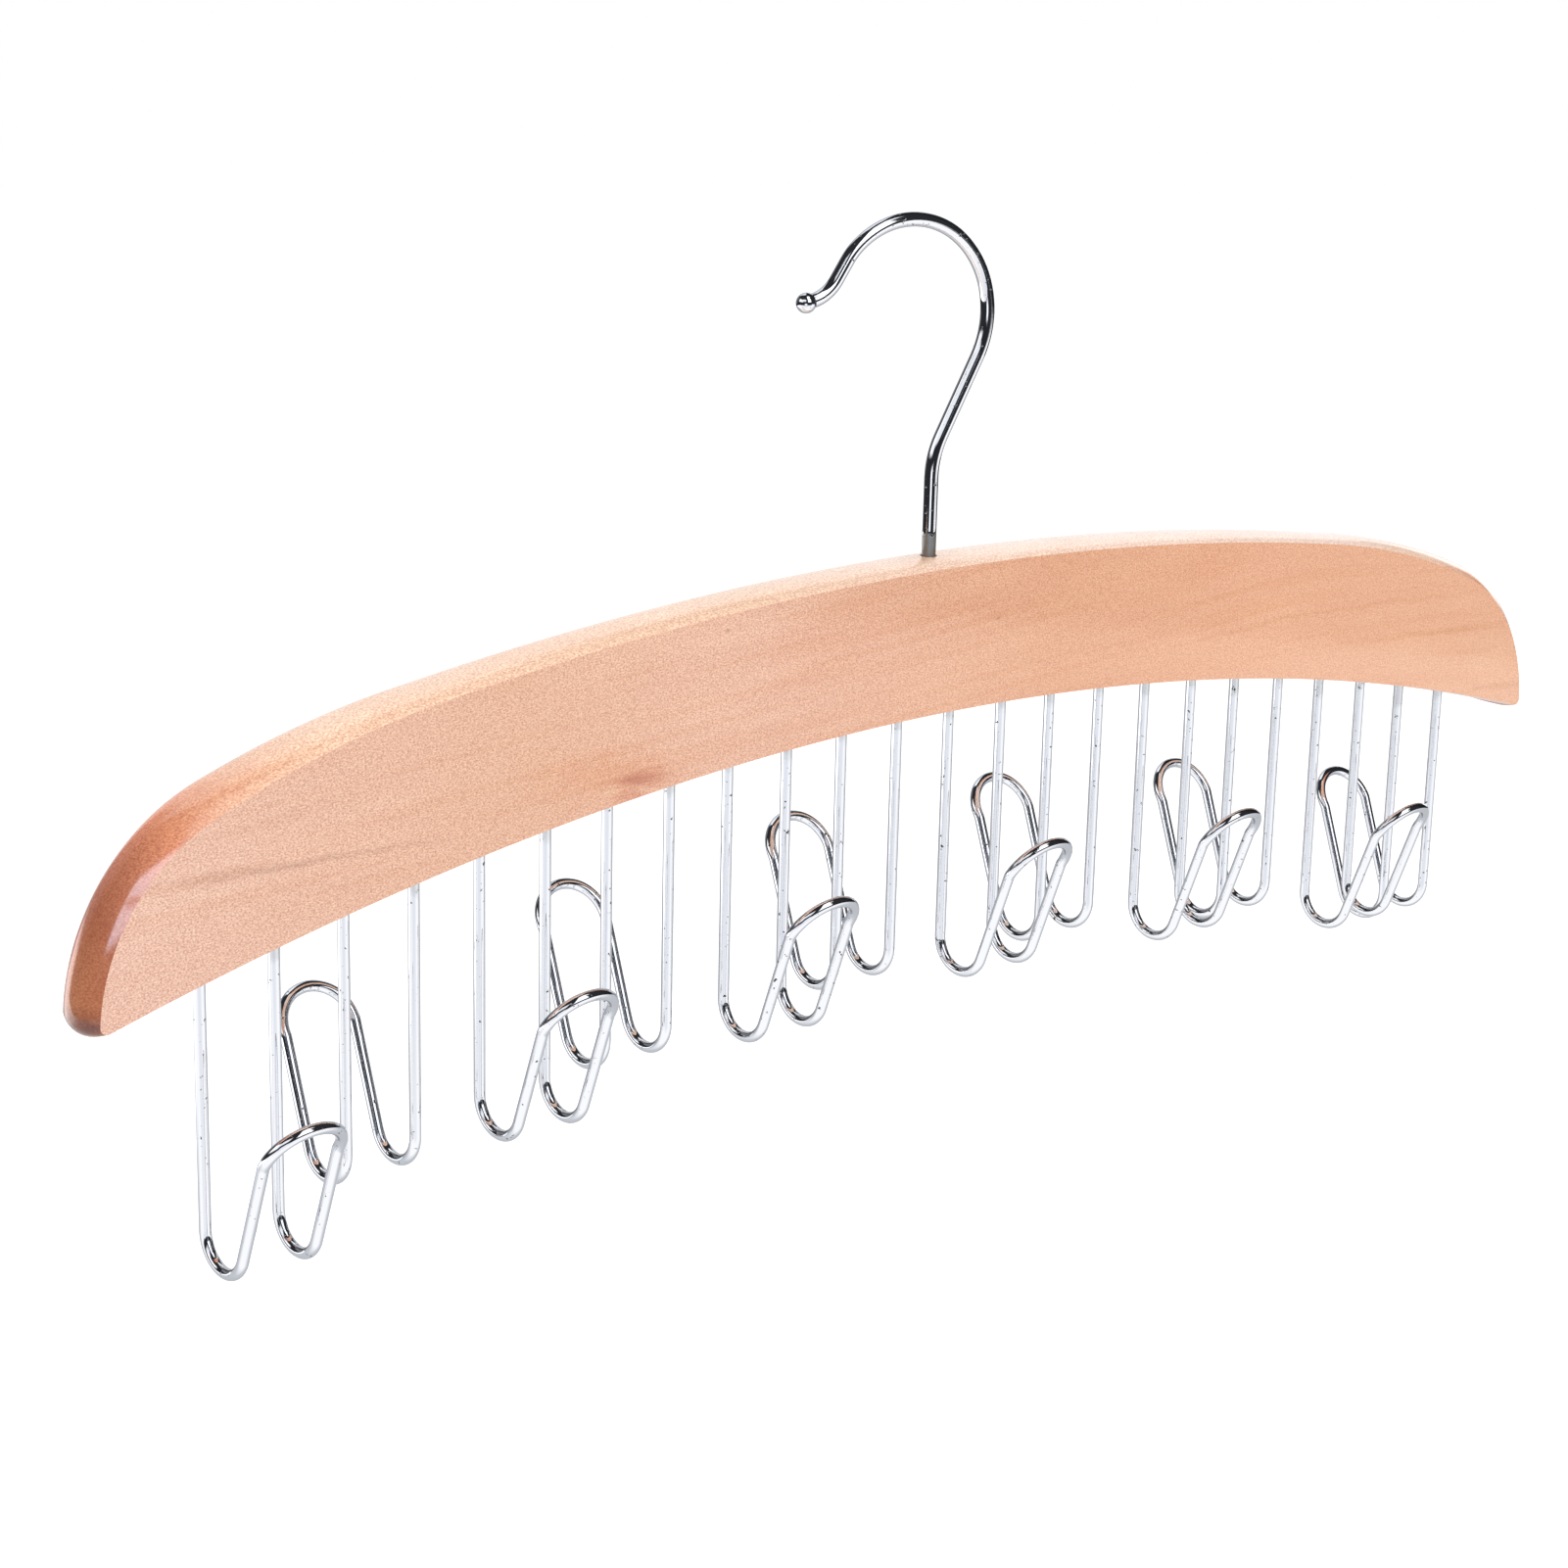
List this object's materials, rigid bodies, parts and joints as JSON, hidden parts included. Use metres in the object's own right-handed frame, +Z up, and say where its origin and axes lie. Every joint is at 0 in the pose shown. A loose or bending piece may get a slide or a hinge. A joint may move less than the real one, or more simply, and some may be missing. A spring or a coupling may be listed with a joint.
{
  "type": "belt hanger",
  "caption": "Arched wooden bar that swivels under a wire hook for a closet rod, with bent wire belt hooks standing out of its underside, front and rear in turn.",
  "frame": {"origin": "on the swivel axis, on the inside of the big hook's eye, where the hanger rests on the closet rod", "axes": "+X along the bar, away from the side the big hook opens to; -Y towards the side of the odd hooks of the row; +Z up along the swivel axis"},
  "size_m": [0.4054, 0.0516, 0.1816],
  "materials": {
    "lacquered_maple": "clear satin lacquer over pale maple",
    "bright_chrome": "bright chrome plate with small pits",
    "zinc_plated_steel": "dull zinc plate"
  },
  "bodies": {
    "hook": {"swivel_hook": "bright_chrome", "stem_washer": "zinc_plated_steel", "stem_nut": "zinc_plated_steel"},
    "bar": {"hanger_bar": "lacquered_maple", "belt_hook_front_1": "bright_chrome", "belt_hook_rear_1": "bright_chrome", "belt_hook_front_2": "bright_chrome", "belt_hook_rear_2": "bright_chrome", "belt_hook_front_3": "bright_chrome", "belt_hook_rear_3": "bright_chrome", "belt_hook_front_4": "bright_chrome", "belt_hook_rear_4": "bright_chrome", "belt_hook_front_5": "bright_chrome", "belt_hook_rear_5": "bright_chrome", "belt_hook_front_6": "bright_chrome", "belt_hook_rear_6": "bright_chrome"}
  },
  "joints": [
    {"name": "hook_swivel", "type": "hinge", "parent": "hook", "child": "bar", "pos_m": [0, 0, 0], "axis": [0, 0, 1], "continuous": true}
  ]
}
